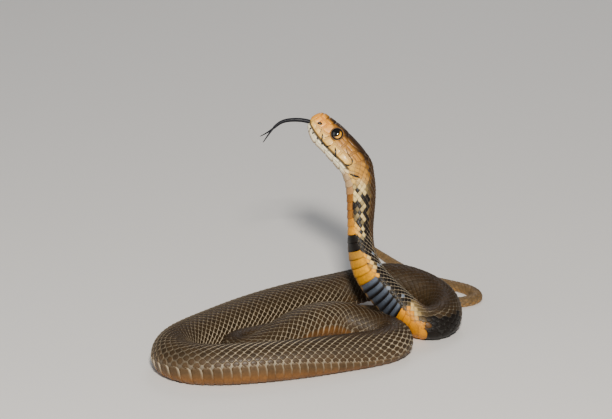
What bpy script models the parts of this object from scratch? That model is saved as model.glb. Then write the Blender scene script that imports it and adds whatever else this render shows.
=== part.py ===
"""A still, life-size model of a young Mozambique spitting cobra, coiled with its neck raised.

The body is one long sweep along a smooth route. Flat cuts with a thin gap part it into the head,
the neck, the lengths of the body and the lengths of the tail. The snake faces -X, its coil lies
on the floor at z = 0, and all route and girth numbers below are in millimetres.
"""
import math

import bmesh
import bpy
import numpy as np
from mathutils import Vector

MM = 0.001
COLLECTION = "mozambique_spitting_cobra"
CUTTERS = "cutters"
GAP = 0.3

# The route of the axis: across, away, and the height of the belly above the floor
HEAD = ((-1.1, 28.4, 91.2), (4.7, 26.6, 84.9), (9.9, 24.9, 79.3), (15.0, 23.3, 73.8))
NECK = ((18.7, 21.2, 66.9), (20.0, 18.8, 58.9), (19.7, 16.2, 50.2), (19.5, 13.5, 41.1), (20.2, 10.9, 32.4),
        (23.3, 8.7, 24.5), (29.0, 6.5, 16.8), (37.8, 4.1, 8.0))
BASE_BEND = ((46.6, -1.0, 0.4), (54.2, 0.0, 0.0), (59.6, 8.8, 0.4), (59.6, 20.4, 2.4), (51.6, 30.4, 5.4))
BACK_STRAND = ((37.6, 36.6, 8.4), (26.6, 43.2, 4.6), (13.1, 44.9, 0.2), (-8.0, 32.4, 0.0), (-30.9, 11.7, 0.0))
LEFT_BEND = ((-48.7, -10.1, 0.0), (-63.0, -28.4, 0.0), (-65.2, -44.6, 0.0), (-54.6, -56.2, 0.0))
FRONT_STRAND = ((-32.6, -54.6, 0.0), (-7.0, -47.2, 0.0), (14.8, -37.2, 0.0))
RIGHT_BEND = ((27.6, -31.0, 0.0), (34.9, -24.0, 0.0), (35.8, -15.2, 0.0), (30.0, -9.0, 0.0), (21.0, -6.0, 1.4))
MIDDLE_STRAND = ((9.9, -1.8, 4.0), (-7.0, -12.9, 5.0), (-19.4, -27.8, 3.2))
HIDDEN_BEND = ((-29.4, -35.6, 1.0), (-37.0, -29.8, 0.0), (-36.9, -19.6, 0.0), (-29.0, -12.6, 0.0))
HIDDEN_STRAND = ((-16.9, -3.1, 0.0), (-4.0, 9.4, 0.0), (13.0, 22.0, 0.0), (29.0, 26.4, 0.0), (38.1, 36.4, 0.0))
TAIL = ((52.8, 43.8, 0.0), (68.4, 42.0, 0.0), (77.4, 50.6, 0.0), (73.0, 63.6, 0.0), (58.2, 71.2, 0.0),
        (46.5, 82.9, 0.0), (36.5, 104.1, 0.0), (26.5, 128.8, 0.0), (19.5, 145.4, 0.0))
ROUTE = (HEAD + NECK + BASE_BEND + BACK_STRAND + LEFT_BEND + FRONT_STRAND + RIGHT_BEND + MIDDLE_STRAND
         + HIDDEN_BEND + HIDDEN_STRAND + TAIL)

# Distance from the snout, width from side to side, height from belly to back
GIRTH = ((0, 13.0, 13.4), (42, 13.0, 13.2), (50, 12.4, 12.3), (57, 12.8, 11.5), (65, 14.4, 11.4), (79, 19.5, 11.5),
         (93, 21.5, 12.6), (108, 18.0, 14.4), (120, 16.2, 15.2), (173, 17.0, 15.8), (269, 18.4, 16.8),
         (367, 18.6, 16.9), (427, 16.9, 14.8), (476, 16.2, 15.3), (513, 12.8, 12.2), (530, 11.6, 10.8),
         (558, 10.4, 9.0), (594, 9.6, 8.0), (618, 7.7, 5.2), (647, 6.6, 4.5), (671, 6.1, 4.3), (703, 5.6, 4.2),
         (743, 3.4, 3.0), (778, 1.0, 1.0))
BELLY_SHARE = 0.44
FLAT_DEPTH = 0.3

# Distance from the snout, direction that the back faces
BACKS = ((0, 0.755, 0.154, 0.636), (25, 0.755, 0.154, 0.636), (37, 0.98, 0.05, 0.17), (49, 1.0, -0.02, -0.02),
         (59, 0.99, 0.1, -0.03), (69, 0.9, 0.42, 0.07), (77, 0.8, 0.53, 0.25), (87, 0.69, 0.59, 0.42),
         (97, 0.64, 0.59, 0.5), (105, 0.6, 0.55, 0.58), (111, 0.44, 0.48, 0.76), (117, 0.16, 0.34, 0.93),
         (127, 0.0, 0.08, 1.0), (137, 0.0, 0.0, 1.0), (157, 0.0, 0.0, 1.0), (778, 0.0, 0.0, 1.0))

# Distance from the snout, half width, crown, mouth line and chin, the last three measured from the axis
HEAD_FORM = ((0.0, 4.4, 4.2, -3.0, -5.2), (2.0, 4.8, 4.9, -3.6, -5.9), (4.5, 5.2, 5.5, -4.1, -6.8),
             (8.0, 5.9, 6.3, -4.5, -7.7), (13.5, 7.0, 7.0, -4.6, -7.4), (19.5, 8.4, 7.3, -4.3, -7.4),
             (25.5, 9.0, 7.8, -3.5, -7.1), (30.5, 8.2, 8.4, -2.9, -6.6), (38.0, 6.6, 7.8, -2.6, -5.9))
HEAD_END = 37.0
HEAD_STATIONS = 34
SNOUT_DEPTH = 3.6
SNOUT_BLUNTNESS = 3.0
CHIN_SLANT = 0.3
LIP_RECESS = 0.6
NOSE_REACH = 1.0
JAW_CORNER = 31.5
LIP_GAP = 0.35
MOUTH_DEPTH = 0.75
BLEND_START = 29.0

EYE_FROM_SNOUT = 13.0
EYE_ABOVE_AXIS = 3.2
EYE_ASIDE = 4.7
EYE_RADIUS = 2.95
EYE_DEPTH = 2.35
NOSTRIL_FROM_SNOUT = 3.9
NOSTRIL_ABOVE_AXIS = 0.6
NOSTRIL_RADIUS = 0.6

# The tongue's middle line and the ends of its tines: across, away, height
TONGUE = ((0.7, 27.0, 93.4), (-1.9, 27.2, 94.6), (-5.2, 27.3, 95.6), (-10.0, 27.3, 95.9), (-14.5, 27.2, 95.4),
          (-17.2, 26.9, 94.0), (-19.6, 26.3, 91.8))
TINES = (("near", (-21.8, 24.4, 89.3), (-24.1, 22.3, 86.4)),
         ("far", (-22.2, 26.9, 89.7), (-25.5, 27.5, 87.8)))
TONGUE_WIDTH = 1.6
TONGUE_FORK_WIDTH = 1.0
TINE_TIP_WIDTH = 0.5

NECK_END = 103.0
BODY_END = 596.0
NECK_LENGTHS = 3
BODY_LENGTHS = 17
TAIL_LENGTHS = 5
BODY_SIDES = 22
TAIL_SIDES = 16
NECK_SCUTE = 3.6
BODY_SCUTE = 5.8
SCUTE_STEP = 0.38
SCUTE_HALF_ANGLE = math.radians(62.0)
TAIL_STEP = 3.6

HEAD_COLOUR = (0.46, 0.27, 0.11)
NECK_COLOUR = (0.42, 0.25, 0.12)
BODY_COLOUR = (0.21, 0.14, 0.09)
TAIL_COLOUR = (0.20, 0.16, 0.10)
EYE_COLOUR = (0.02, 0.012, 0.008)
TONGUE_COLOUR = (0.015, 0.016, 0.022)


def b_spline(control, per_span=14):
    """A uniform cubic B-spline drawn near its control points, reaching the first and the last of them."""
    p = np.array(control, float)
    p = np.vstack([2 * p[0] - p[1], p, 2 * p[-1] - p[-2]])
    t = np.linspace(0.0, 1.0, per_span, endpoint=False)[:, None]
    weights = ((1 - t) ** 3, 3 * t ** 3 - 6 * t ** 2 + 4, -3 * t ** 3 + 3 * t ** 2 + 3 * t + 1, t ** 3)
    spans = [sum(w * p[i + k] for k, w in enumerate(weights)) / 6 for i in range(len(p) - 3)]
    return np.vstack(spans + [p[-2:-1]])


def read_table(table, at):
    """A smooth reading of a short table whose rows start with a distance from the snout."""
    rows = np.array(table, float)
    places = rows[:, 0]
    values = rows[:, 1:]
    slope = np.gradient(values, places, axis=0)
    index = np.clip(np.searchsorted(places, at, side="right") - 1, 0, len(places) - 2)
    span = (places[index + 1] - places[index])[:, None]
    t = np.clip((at - places[index])[:, None] / span, 0.0, 1.0)
    start = (2 * t ** 3 - 3 * t ** 2 + 1) * values[index] + (t ** 3 - 2 * t ** 2 + t) * span * slope[index]
    end = (3 * t ** 2 - 2 * t ** 3) * values[index + 1] + (t ** 3 - t ** 2) * span * slope[index + 1]
    return start + end


FINE_ROUTE = b_spline(ROUTE)
FINE_LENGTHS = np.concatenate([[0.0], np.cumsum(np.linalg.norm(np.diff(FINE_ROUTE, axis=0), axis=1))])
TOTAL = FINE_LENGTHS[-1]


def place(at):
    """Points on the axis, with the belly's height turned into the axis's height."""
    spine = np.stack([np.interp(at, FINE_LENGTHS, FINE_ROUTE[:, k]) for k in range(3)], 1)
    spine[:, 2] += BELLY_SHARE * read_table(GIRTH, at)[:, 1] - FLAT_DEPTH
    return spine


def frames(at):
    """The axis, and at each station the directions along it, to the back and to the snake's left."""
    at = np.atleast_1d(np.asarray(at, float))
    near = 1.5
    spine = place(at)
    along = place(np.minimum(at + near, TOTAL)) - place(np.maximum(at - near, 0.0))
    along /= np.linalg.norm(along, axis=1)[:, None]
    back = read_table(BACKS, at)
    back -= np.sum(back * along, axis=1)[:, None] * along
    back /= np.linalg.norm(back, axis=1)[:, None]
    left = np.cross(along, back)
    return spine, along, back, left


def body_section(angle, width, height):
    """Aside and up for angles measured from the back: a blunt ridge above, fuller flanks and belly below."""
    c = np.cos(angle)
    s = np.sin(angle)
    upper = c > 0
    aside = np.sign(s) * np.abs(s) ** np.where(upper, 1.0, 0.85) * width / 2
    up = np.where(upper, np.abs(c) ** 1.05 * (1 - BELLY_SHARE), -np.abs(c) ** 0.8 * BELLY_SHARE) * height
    return aside, up


def scute_weight(angle):
    """How far a belly plate stands out at an angle from the back: fully below, not at all on the flanks."""
    from_belly = np.abs(np.abs(angle) - math.pi)
    return np.clip((SCUTE_HALF_ANGLE - from_belly) / math.radians(16.0), 0.0, 1.0)


def body_ring(at, angle, raised):
    """One ring of the body at a distance from the snout, its belly standing out by raised."""
    spine, along, back, left = (v[0] for v in frames(at))
    width, height = read_table(GIRTH, np.array([at]))[0]
    aside, up = body_section(angle, width, height)
    reach = 1 + raised * scute_weight(angle) / (height / 2)
    ring = spine + np.outer(aside * reach, left) + np.outer(up * reach, back)
    ring[:, 2] = np.maximum(ring[:, 2], 0.0)
    return ring


def head_angles():
    """Angles down the left side of the head, with three close columns where the mouth is."""
    above = np.radians(np.linspace(0.0, 82.0, 9))
    mouth = np.radians((88.0, 90.0, 92.0))
    below = np.radians((102.0, 118.0, 136.0, 157.0, 180.0))
    side = np.concatenate([above, mouth, below])
    return np.concatenate([side, -side[-2:0:-1]])


def head_ring(at, angle):
    """One ring of the head: a crown, upright cheeks, lips on both sides of the mouth line and a chin."""
    half, crown, mouth, chin = read_table(HEAD_FORM, np.array([at]))[0]
    spine, along, back, left = (v[0] for v in frames(at))
    s = np.abs(np.sin(angle))
    c = np.cos(angle)
    upper = c > 0
    aside = np.where(upper, s ** 0.72 * half, s ** 0.62 * (half - 0.4))
    up = np.where(upper, mouth + LIP_GAP + np.abs(c) ** 0.86 * (crown - mouth - LIP_GAP),
                  mouth - LIP_GAP - np.abs(c) ** 0.9 * (mouth - LIP_GAP - chin))
    from_mouth = np.abs(np.degrees(np.abs(angle)) - 90.0)
    open_mouth = np.clip((JAW_CORNER - at) / 3.0, 0.0, 1.0)
    groove = from_mouth < 1.0
    aside = np.where(groove, aside - MOUTH_DEPTH * open_mouth, aside)
    up = np.where(groove, mouth, up)
    brow = 0.45 * math.exp(-((at - EYE_FROM_SNOUT) / 4.0) ** 2)
    aside += brow * np.exp(-((np.degrees(np.abs(angle)) - 44.0) / 11.0) ** 2)
    aside *= np.sign(np.sin(angle))
    if at < SNOUT_DEPTH:
        shrink = (1 - (1 - at / SNOUT_DEPTH) ** SNOUT_BLUNTNESS) ** (1 / SNOUT_BLUNTNESS)
        aside = aside * shrink
        up = mouth + (up - mouth) * shrink
    if at > BLEND_START:
        width, height = read_table(GIRTH, np.array([at]))[0]
        plain_aside, plain_up = body_section(angle, width, height)
        blend = min((at - BLEND_START) / (HEAD_END - BLEND_START), 1.0)
        blend = blend * blend * (3 - 2 * blend)
        aside = aside + (plain_aside - aside) * blend
        up = up + (plain_up - up) * blend
    recede = np.clip(mouth - up, 0.0, None) * CHIN_SLANT * max(0.0, 1 - at / 9.0)
    overhang = LIP_RECESS - NOSE_REACH * np.clip((up - mouth) / 2.5, 0.0, 1.0)
    recede += overhang * max(0.0, 1 - at / 6.0)
    return spine + np.outer(aside, left) + np.outer(up, back) + np.outer(recede, along)


def from_head(at, aside, up):
    """A point in the head, by its distance from the snout, to the left of and above the axis."""
    spine, along, back, left = (v[0] for v in frames(at))
    return spine + aside * left + up * back


def material(name, colour, roughness):
    """A Principled material of one colour."""
    made = bpy.data.materials.new(name)
    made.use_nodes = True
    shader = made.node_tree.nodes["Principled BSDF"]
    shader.inputs["Base Color"].default_value = (*colour, 1.0)
    shader.inputs["Roughness"].default_value = roughness
    return made


def collection(name):
    """A new collection in the scene."""
    made = bpy.data.collections.new(name)
    bpy.context.scene.collection.children.link(made)
    return made


def object_from_rings(name, rings, home):
    """A closed body from like rings, each end capped by a fan round its middle."""
    rings = np.array(rings) * MM
    count = rings.shape[1]
    middle = rings.reshape(-1, 3).mean(0)
    mesh = bmesh.new()
    rows = [[mesh.verts.new(Vector(p - middle)) for p in ring] for ring in rings]
    for first, second in zip(rows, rows[1:]):
        for k in range(count):
            after = (k + 1) % count
            mesh.faces.new((first[k], first[after], second[after], second[k]))
    for row in (rows[0], rows[-1]):
        centre = mesh.verts.new(sum((v.co for v in row), Vector()) / count)
        for k in range(count):
            mesh.faces.new((row[k], row[(k + 1) % count], centre))
    bmesh.ops.remove_doubles(mesh, verts=mesh.verts, dist=0.00001)
    bmesh.ops.triangulate(mesh, faces=mesh.faces)
    bmesh.ops.recalc_face_normals(mesh, faces=mesh.faces)
    data = bpy.data.meshes.new(name)
    mesh.to_mesh(data)
    mesh.free()
    data.shade_smooth()
    made = bpy.data.objects.new(name, data)
    made.location = Vector(middle)
    home.objects.link(made)
    return made


def tube(name, points, widths, sides, home):
    """A closed round tube through a few points, its width read evenly along them."""
    line = b_spline(points, 4)
    lengths = np.concatenate([[0.0], np.cumsum(np.linalg.norm(np.diff(line, axis=0), axis=1))])
    width = np.interp(lengths / lengths[-1], np.linspace(0, 1, len(widths)), widths)
    along = np.gradient(line, axis=0)
    along /= np.linalg.norm(along, axis=1)[:, None]
    flat = np.cross(along, (0.0, 1.0, 0.0))
    flat /= np.linalg.norm(flat, axis=1)[:, None]
    other = np.cross(flat, along)
    turn = np.linspace(0, 2 * math.pi, sides, endpoint=False)
    rings = []
    for i in range(len(line)):
        reach = width[i] / 2
        rings.append(line[i] + np.outer(np.cos(turn) * reach, flat[i]) + np.outer(np.sin(turn) * reach, other[i]))
    return object_from_rings(name, rings, home)


def ball(name, centre, axes, radii, home):
    """An ellipsoid with its own three axes."""
    mesh = bmesh.new()
    bmesh.ops.create_uvsphere(mesh, u_segments=16, v_segments=10, radius=1.0)
    data = bpy.data.meshes.new(name)
    mesh.to_mesh(data)
    mesh.free()
    turn = np.array(axes).T * np.array(radii) * MM
    for vertex in data.vertices:
        vertex.co = Vector(turn @ np.array(vertex.co))
    data.shade_smooth()
    made = bpy.data.objects.new(name, data)
    made.location = Vector(np.array(centre) * MM)
    home.objects.link(made)
    return made


def as_cutter(item):
    """Marks a helper that only cuts."""
    item.hide_render = True
    item.display_type = "WIRE"
    return item


def eye_place(side):
    """Centre and axes of one eye: side is 1 on the left and -1 on the right."""
    _, along, back, left = (v[0] for v in frames(EYE_FROM_SNOUT))
    centre = from_head(EYE_FROM_SNOUT, side * EYE_ASIDE, EYE_ABOVE_AXIS)
    return centre, (along, back, left)


def build_head(parts, cutters):
    """The head, with sockets for the eyes, nostrils, and a notch where the tongue comes out."""
    share = np.linspace(0.0, 1.0, HEAD_STATIONS)
    stations = 0.02 + (HEAD_END - GAP / 2 - 0.02) * share ** 1.45
    angle = head_angles()
    head = object_from_rings("head", [head_ring(at, angle) for at in stations], parts)
    for side, word in ((1, "left"), (-1, "right")):
        centre, axes = eye_place(side)
        socket = ball("socket_" + word, centre, axes, (EYE_RADIUS + GAP, EYE_RADIUS + GAP, EYE_DEPTH + GAP), cutters)
        reach = read_table(HEAD_FORM, np.array([NOSTRIL_FROM_SNOUT]))[0][0]
        hole = from_head(NOSTRIL_FROM_SNOUT, side * (reach - 0.7), NOSTRIL_ABOVE_AXIS)
        nostril = ball("nostril_" + word, hole, axes, (NOSTRIL_RADIUS * 1.3, NOSTRIL_RADIUS, 1.1), cutters)
        for cutter in (socket, nostril):
            cut = head.modifiers.new(cutter.name, "BOOLEAN")
            cut.object = as_cutter(cutter)
            cut.operation = "DIFFERENCE"
    notch = tube("tongue_notch", TONGUE[:3], (TONGUE_WIDTH + 2 * GAP,) * 2, 10, cutters)
    cut = head.modifiers.new("tongue_notch", "BOOLEAN")
    cut.object = as_cutter(notch)
    cut.operation = "DIFFERENCE"
    head.data.materials.append(material("head_skin", HEAD_COLOUR, 0.4))


def build_eyes(parts):
    """A dark, bulging eye in each socket."""
    for side, word in ((1, "left"), (-1, "right")):
        centre, axes = eye_place(side)
        eye = ball("eye_" + word, centre, axes, (EYE_RADIUS, EYE_RADIUS, EYE_DEPTH), parts)
        eye.data.materials.append(material("eye_" + word, EYE_COLOUR, 0.08))


def build_tongue(parts, cutters):
    """The flickering tongue: one stem and two tines, joined into one body."""
    line = b_spline(TONGUE, 4)
    inside = 5
    stem = tube("tongue", line[inside:], (TONGUE_WIDTH, TONGUE_WIDTH, TONGUE_FORK_WIDTH), 10, parts)
    root = TONGUE[-2]
    for word, bend, tip in TINES:
        widths = (TONGUE_FORK_WIDTH * 0.8, TINE_TIP_WIDTH)
        tine = as_cutter(tube("tine_" + word, (root, TONGUE[-1], bend, tip), widths, 8, cutters))
        join = stem.modifiers.new("tine_" + word, "BOOLEAN")
        join.object = tine
        join.operation = "UNION"
    stem.data.materials.append(material("tongue_skin", TONGUE_COLOUR, 0.25))


def scute_stations(start, end, pitch):
    """Stations and how far the belly stands out there: each plate rises to its rear edge, then drops."""
    count = max(1, round((end - start) / pitch))
    pitch = (end - start) / count
    stations = []
    for i in range(count):
        stations.append((start + i * pitch, 0.0))
        stations.append((start + (i + 0.9) * pitch, SCUTE_STEP))
    stations.append((end, 0.0))
    return stations


def build_length(name, start, end, stations, sides, colour, parts):
    """One length of the snake between two flat cuts."""
    angle = np.linspace(-math.pi, math.pi, sides, endpoint=False)
    rings = [body_ring(at, angle, raised) for at, raised in stations]
    made = object_from_rings(name, rings, parts)
    made.data.materials.append(material(name + "_skin", colour, 0.45))


def build_lengths(parts):
    """The neck and the body with their belly plates, and the tail."""
    cuts = np.linspace(HEAD_END, NECK_END, NECK_LENGTHS + 1)
    for i in range(NECK_LENGTHS):
        start, end = cuts[i] + GAP / 2, cuts[i + 1] - GAP / 2
        stations = scute_stations(start, end, NECK_SCUTE)
        build_length(f"neck_{i + 1}", start, end, stations, BODY_SIDES, NECK_COLOUR, parts)
    cuts = np.linspace(NECK_END, BODY_END, BODY_LENGTHS + 1)
    for i in range(BODY_LENGTHS):
        start, end = cuts[i] + GAP / 2, cuts[i + 1] - GAP / 2
        stations = scute_stations(start, end, BODY_SCUTE)
        build_length(f"body_{i + 1:02d}", start, end, stations, BODY_SIDES, BODY_COLOUR, parts)
    cuts = np.linspace(BODY_END, TOTAL, TAIL_LENGTHS + 1)
    for i in range(TAIL_LENGTHS):
        start = cuts[i] + GAP / 2
        end = cuts[i + 1] - (GAP / 2 if i + 1 < TAIL_LENGTHS else 0.0)
        count = round((end - start) / TAIL_STEP) + 1
        stations = [(at, 0.0) for at in np.linspace(start, end, count)]
        build_length(f"tail_{i + 1}", start, end, stations, TAIL_SIDES, TAIL_COLOUR, parts)


def centre_on_floor(parts, cutters):
    """Moves everything sideways so that the middle of its box stands over the origin."""
    bpy.context.view_layer.update()
    low = Vector((math.inf, math.inf))
    high = Vector((-math.inf, -math.inf))
    for item in parts.objects:
        for vertex in item.data.vertices:
            point = item.matrix_world @ vertex.co
            low = Vector((min(low.x, point.x), min(low.y, point.y)))
            high = Vector((max(high.x, point.x), max(high.y, point.y)))
    shift = Vector((-(low.x + high.x) / 2, -(low.y + high.y) / 2, 0.0))
    for item in list(parts.objects) + list(cutters.objects):
        item.location += shift


def build():
    """The whole model in an emptied scene."""
    for item in list(bpy.data.objects):
        bpy.data.objects.remove(item)
    parts = collection(COLLECTION)
    cutters = collection(CUTTERS)
    build_head(parts, cutters)
    build_eyes(parts)
    build_tongue(parts, cutters)
    build_lengths(parts)
    centre_on_floor(parts, cutters)


build()
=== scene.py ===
"""A young Mozambique spitting cobra as a museum model, coiled on a pale floor with its neck raised.

Distances along the snake are in millimetres from the snout, and angles run from the middle of the back
to the snake's left. The finished pieces are in metres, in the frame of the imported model.
"""
import math

import bpy
import numpy as np
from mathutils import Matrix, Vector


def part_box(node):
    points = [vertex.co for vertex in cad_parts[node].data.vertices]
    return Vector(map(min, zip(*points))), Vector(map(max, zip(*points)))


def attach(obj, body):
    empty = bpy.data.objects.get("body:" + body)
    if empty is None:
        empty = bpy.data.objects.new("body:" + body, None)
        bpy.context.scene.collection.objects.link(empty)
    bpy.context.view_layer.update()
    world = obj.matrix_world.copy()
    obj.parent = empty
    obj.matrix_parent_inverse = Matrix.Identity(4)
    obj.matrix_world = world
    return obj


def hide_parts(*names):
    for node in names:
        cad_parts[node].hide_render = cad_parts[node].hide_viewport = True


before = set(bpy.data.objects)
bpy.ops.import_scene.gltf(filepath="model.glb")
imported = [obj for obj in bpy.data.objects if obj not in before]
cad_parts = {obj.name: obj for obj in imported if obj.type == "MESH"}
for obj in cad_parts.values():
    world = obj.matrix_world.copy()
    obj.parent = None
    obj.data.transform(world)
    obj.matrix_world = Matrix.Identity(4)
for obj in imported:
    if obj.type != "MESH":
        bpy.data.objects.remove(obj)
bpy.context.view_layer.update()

# The view
# A long lens looks down a little at the coil from its open side, and takes in the raised neck, the
# tongue and the tail behind. The left eye fixes the route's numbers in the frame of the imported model.
MM = 0.001
EYE_MIDDLE = np.array([9.747, 21.636, 90.864])
SHIFT = np.mean(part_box("eye_left"), axis=0) / MM - EYE_MIDDLE
VIEW_FALL = math.radians(18.0)
VIEW_DISTANCE = 1500.0
VIEW_TARGET = np.array([-4.5, 0.0, 61.75])
PICTURE_WIDTH = 612
PIXEL_SIZE = 0.45
FOCAL_PIXELS = VIEW_DISTANCE / PIXEL_SIZE
SENSOR = 36.0

lens = bpy.data.cameras.new("long_lens")
lens.sensor_fit = "HORIZONTAL"
lens.sensor_width = SENSOR
lens.lens = SENSOR * FOCAL_PIXELS / PICTURE_WIDTH
camera = bpy.data.objects.new("camera", lens)
view_line = np.array([0.0, math.cos(VIEW_FALL), -math.sin(VIEW_FALL)])
camera.location = (VIEW_TARGET + SHIFT - VIEW_DISTANCE * view_line) * MM
camera.rotation_euler = (math.pi / 2 - VIEW_FALL, 0.0, 0.0)
bpy.context.scene.collection.objects.link(camera)
bpy.context.scene.camera = camera

# The floor and the light
# A plain pale matt floor, a small lamp in front above the lens, a broad weak one on the left and a
# weak one behind, which draws a light edge along the coil and the neck.
FLOOR_REACH = 4.0
FLOOR_DROP = 0.02
FLOOR_COLOUR = (0.80, 0.77, 0.73)
FLOOR_CORNERS = ((-1, -1), (1, -1), (1, 1), (-1, 1))
LAMP_AIM = (0.0, 0.0, 0.03)
VIVID = 1.28


def srgb(red, green, blue):
    """A colour read from a screen, turned linear and made more vivid, away from its own grey."""
    c = np.array([red, green, blue]) / 255.0
    c = np.where(c <= 0.04045, c / 12.92, ((c + 0.055) / 1.055) ** 2.4)
    return np.clip(c.mean() + VIVID * (c - c.mean()), 0.001, 1.0)


def new_material(name, roughness, coat=0.0, coat_roughness=0.03, specular=0.5):
    """A material and its Principled shader, with the settings that are the same all over it."""
    made = bpy.data.materials.new(name)
    made.use_nodes = True
    shader = made.node_tree.nodes["Principled BSDF"]
    shader.inputs["Roughness"].default_value = roughness
    shader.inputs["Coat Weight"].default_value = coat
    shader.inputs["Coat Roughness"].default_value = coat_roughness
    shader.inputs["Specular IOR Level"].default_value = specular
    return made, shader


def ramp(material, value, low, high, start=0.0, end=1.0):
    """A value spread from start..end to low..high."""
    made = material.node_tree.nodes.new("ShaderNodeMapRange")
    made.inputs["From Min"].default_value = start
    made.inputs["From Max"].default_value = end
    made.inputs["To Min"].default_value = low
    made.inputs["To Max"].default_value = high
    material.node_tree.links.new(value, made.inputs["Value"])
    return made.outputs["Result"]


def add_noise(material, scale, detail, low, high):
    """Noise on Object coordinates, spread between a low and a high value. Returns the socket."""
    place = material.node_tree.nodes.new("ShaderNodeTexCoord")
    noise = material.node_tree.nodes.new("ShaderNodeTexNoise")
    noise.inputs["Scale"].default_value = scale
    noise.inputs["Detail"].default_value = detail
    material.node_tree.links.new(place.outputs["Object"], noise.inputs["Vector"])
    return ramp(material, noise.outputs["Fac"], low, high, 0.25, 0.75)


def add_grain(material, shader, scale, detail, strength, distance=0.0002):
    """Fine relief: a bump whose height is noise between 0 and 1."""
    bump = material.node_tree.nodes.new("ShaderNodeBump")
    bump.inputs["Strength"].default_value = strength
    bump.inputs["Distance"].default_value = distance
    material.node_tree.links.new(add_noise(material, scale, detail, 0.0, 1.0), bump.inputs["Height"])
    material.node_tree.links.new(bump.outputs["Normal"], shader.inputs["Normal"])


def times(material, colour, factor):
    """A colour socket scaled by a value socket."""
    made = material.node_tree.nodes.new("ShaderNodeVectorMath")
    made.operation = "SCALE"
    material.node_tree.links.new(colour, made.inputs[0])
    material.node_tree.links.new(factor, made.inputs["Scale"])
    return made.outputs["Vector"]


def area_lamp(name, place, size, power, colour):
    """A square lamp at a place, turned towards the coil, in metres and watts."""
    data = bpy.data.lights.new(name, "AREA")
    data.size = size
    data.energy = power
    data.color = colour
    lamp = bpy.data.objects.new(name, data)
    lamp.location = place
    to = np.array(LAMP_AIM) - np.array(place)
    flat = math.hypot(to[0], to[1])
    lamp.rotation_euler = (math.atan2(flat, -to[2]), 0.0, math.atan2(to[1], to[0]) - math.pi / 2)
    bpy.context.scene.collection.objects.link(lamp)


floor_mesh = bpy.data.meshes.new("floor")
corners = [(x * FLOOR_REACH, y * FLOOR_REACH, -FLOOR_DROP * MM) for x, y in FLOOR_CORNERS]
floor_mesh.from_pydata(corners, [], [(0, 1, 2, 3)])
floor = bpy.data.objects.new("floor", floor_mesh)
bpy.context.scene.collection.objects.link(floor)
floor_paint, floor_shader = new_material("matt_floor", 0.9)
floor_shader.inputs["Base Color"].default_value = (*FLOOR_COLOUR, 1.0)
add_grain(floor_paint, floor_shader, 400.0, 2.0, 0.04, 0.0005)
floor_mesh.materials.append(floor_paint)

area_lamp("key_lamp", (0.05, -1.18, 0.78), 0.12, 27.0, (1.0, 0.96, 0.90))
area_lamp("side_lamp", (-0.95, -0.55, 0.60), 0.9, 2.4, (0.90, 0.95, 1.0))
area_lamp("back_lamp", (0.15, 0.85, 0.85), 0.5, 2.5, (0.98, 0.98, 1.0))
world = bpy.data.worlds.new("soft_room")
world.use_nodes = True
room = world.node_tree.nodes["Background"]
room.inputs["Color"].default_value = (0.80, 0.85, 0.92, 1.0)
room.inputs["Strength"].default_value = 0.20
bpy.context.scene.world = world

# The skin
# Soft skin drawn over the body from the snout to the tail's tip, closed at both ends, with a mouth slit and
# a hollow for each eye. It shows as a fine net between the scales: pale on the flanks, brown on the back.
ROUTE = (
    (-1.1, 28.4, 91.2), (4.7, 26.6, 84.9), (9.9, 24.9, 79.3), (15.0, 23.3, 73.8), (18.7, 21.2, 66.9),
    (20.0, 18.8, 58.9), (19.7, 16.2, 50.2), (19.5, 13.5, 41.1), (20.2, 10.9, 32.4), (23.3, 8.7, 24.5),
    (29.0, 6.5, 16.8), (37.8, 4.1, 8.0), (46.6, -1.0, 0.4), (54.2, 0.0, 0.0), (59.6, 8.8, 0.4),
    (59.6, 20.4, 2.4), (51.6, 30.4, 5.4), (37.6, 36.6, 8.4), (26.6, 43.2, 4.6), (13.1, 44.9, 0.2),
    (-8.0, 32.4, 0.0), (-30.9, 11.7, 0.0), (-48.7, -10.1, 0.0), (-63.0, -28.4, 0.0), (-65.2, -44.6, 0.0),
    (-54.6, -56.2, 0.0), (-32.6, -54.6, 0.0), (-7.0, -47.2, 0.0), (14.8, -37.2, 0.0), (27.6, -31.0, 0.0),
    (34.9, -24.0, 0.0), (35.8, -15.2, 0.0), (30.0, -9.0, 0.0), (21.0, -6.0, 1.4), (9.9, -1.8, 4.0),
    (-7.0, -12.9, 5.0), (-19.4, -27.8, 3.2), (-29.4, -35.6, 1.0), (-37.0, -29.8, 0.0),
    (-36.9, -19.6, 0.0), (-29.0, -12.6, 0.0), (-16.9, -3.1, 0.0), (-4.0, 9.4, 0.0), (13.0, 22.0, 0.0),
    (29.0, 26.4, 0.0), (38.1, 36.4, 0.0), (52.8, 43.8, 0.0), (68.4, 42.0, 0.0), (77.4, 50.6, 0.0),
    (73.0, 63.6, 0.0), (58.2, 71.2, 0.0), (46.5, 82.9, 0.0), (36.5, 104.1, 0.0), (26.5, 128.8, 0.0),
    (19.5, 145.4, 0.0),
)
GIRTH = (
    (0, 13.0, 13.4), (42, 13.0, 13.2), (50, 12.4, 12.3), (57, 12.8, 11.5), (65, 14.4, 11.4),
    (79, 19.5, 11.5), (93, 21.5, 12.6), (108, 18.0, 14.4), (120, 16.2, 15.2), (173, 17.0, 15.8),
    (269, 18.4, 16.8), (367, 18.6, 16.9), (427, 16.9, 14.8), (476, 16.2, 15.3), (513, 12.8, 12.2),
    (530, 11.6, 10.8), (558, 10.4, 9.0), (594, 9.6, 8.0), (618, 7.7, 5.2), (647, 6.6, 4.5),
    (671, 6.1, 4.3), (703, 5.6, 4.2), (743, 3.4, 3.0), (778, 1.0, 1.0),
)
BELLY_SHARE = 0.44
FLAT_DEPTH = 0.3
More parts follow.
